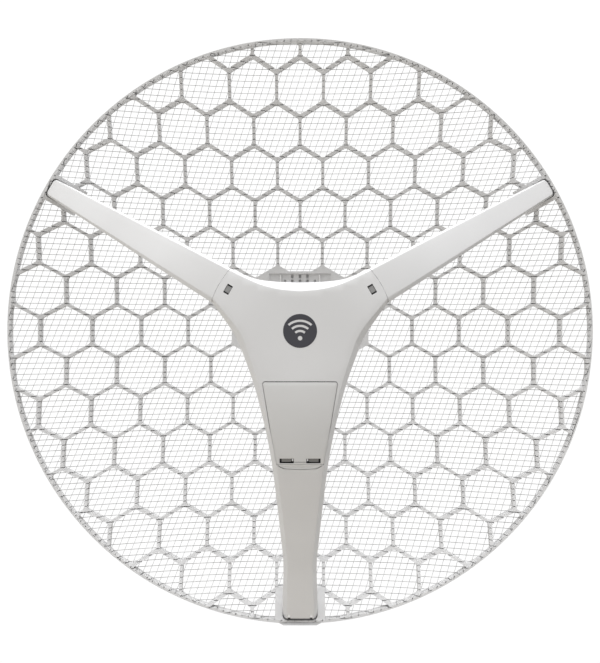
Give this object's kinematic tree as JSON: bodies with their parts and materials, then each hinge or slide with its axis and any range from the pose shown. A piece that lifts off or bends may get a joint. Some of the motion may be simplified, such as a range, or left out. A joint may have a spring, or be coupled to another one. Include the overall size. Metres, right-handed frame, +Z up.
{
  "type": "parabolic grid antenna",
  "caption": "Parabolic grid antenna: honeycomb dish with woven wire mesh, feed radio on a tripod, and a tilting U-bolt mast clamp.",
  "frame": {"origin": "on the mast's axis, midway between the two U-bolts of the mast clamp", "axes": "+Z up along the mast, -Y the way the dish looks, +X to the right of somebody who faces the dish"},
  "size_m": [0.5466, 0.3785, 0.5482],
  "materials": {
    "frame_plastic": "moulded, light grey, fine texture",
    "wire_mesh": "drawn steel wire",
    "cover_plastic": "moulded, off-white, fine texture",
    "door_plastic": "moulded, light grey, fine texture",
    "galvanised_steel": "galvanised sheet",
    "zinc_fastener": "bright zinc plating",
    "circuit_board": "solder mask",
    "tinned_sheet": "tinned",
    "copper_plate": "copper",
    "black_plastic": "moulded, black"
  },
  "bodies": {
    "mast_clamp": {"mast_bracket": "galvanised_steel", "pivot_bolt": "zinc_fastener", "pivot_nut": "zinc_fastener", "pivot_washer_left": "zinc_fastener", "pivot_washer_right": "zinc_fastener", "lock_bolt": "zinc_fastener", "lock_nut": "zinc_fastener", "lock_washer_left": "zinc_fastener", "lock_washer_right": "zinc_fastener", "upper_u_nut_left": "zinc_fastener", "upper_u_nut_right": "zinc_fastener", "upper_u_washer_left": "zinc_fastener", "upper_u_washer_right": "zinc_fastener", "lower_u_nut_left": "zinc_fastener", "lower_u_nut_right": "zinc_fastener", "lower_u_washer_left": "zinc_fastener", "lower_u_washer_right": "zinc_fastener"},
    "dish": {"reflector_frame": "frame_plastic", "reflector_mesh": "wire_mesh", "front_cover": "cover_plastic", "rear_cover": "cover_plastic", "left_arm": "cover_plastic", "right_arm": "cover_plastic", "door_hinge_pin": "zinc_fastener", "main_board": "circuit_board", "shield_can": "tinned_sheet", "ground_reflector": "tinned_sheet", "feed_radiator": "copper_plate", "ethernet_jack": "black_plastic", "reset_switch": "black_plastic", "tilt_bracket": "galvanised_steel", "board_screw_1": "zinc_fastener", "board_screw_2": "zinc_fastener", "left_arm_screw": "zinc_fastener", "right_arm_screw": "zinc_fastener", "leg_screw_left": "zinc_fastener", "leg_screw_right": "zinc_fastener", "rear_cover_screw_1": "zinc_fastener", "hub_bolt_1": "zinc_fastener", "rear_cover_screw_2": "zinc_fastener", "hub_bolt_2": "zinc_fastener", "rear_cover_screw_3": "zinc_fastener", "hub_bolt_3": "zinc_fastener", "rear_cover_screw_4": "zinc_fastener", "hub_bolt_4": "zinc_fastener"},
    "door": {"port_door": "door_plastic"},
    "latch": {"door_latch": "door_plastic"},
    "reset": {"reset_button": "black_plastic"},
    "upper_clamp_bolt": {"upper_u_bolt": "zinc_fastener"},
    "lower_clamp_bolt": {"lower_u_bolt": "zinc_fastener"}
  },
  "joints": [
    {"name": "elevation_tilt", "type": "hinge", "parent": "mast_clamp", "child": "dish", "pos_m": [0, -0.06, -0.018], "axis": [-1, 0, 0], "range_deg": [-15, 15]},
    {"name": "upper_u_bolt_slide", "type": "slide", "parent": "mast_clamp", "child": "upper_clamp_bolt", "axis": [0, -1, 0], "range_m": [0, 0.0154]},
    {"name": "lower_u_bolt_slide", "type": "slide", "parent": "mast_clamp", "child": "lower_clamp_bolt", "axis": [0, -1, 0], "range_m": [0, 0.0154]},
    {"name": "door_swing", "type": "hinge", "parent": "dish", "child": "door", "pos_m": [0, -0.3423, -0.0438], "axis": [-1, 0, 0], "range_deg": [0, 80]},
    {"name": "door_latch_press", "type": "slide", "parent": "door", "child": "latch", "axis": [0, 1, 0], "range_m": [0, 0.0015], "stiffness_N_per_m": 300},
    {"name": "reset_press", "type": "slide", "parent": "dish", "child": "reset", "axis": [0, 1, 0], "range_m": [0, 0.0004], "stiffness_N_per_m": 200}
  ]
}
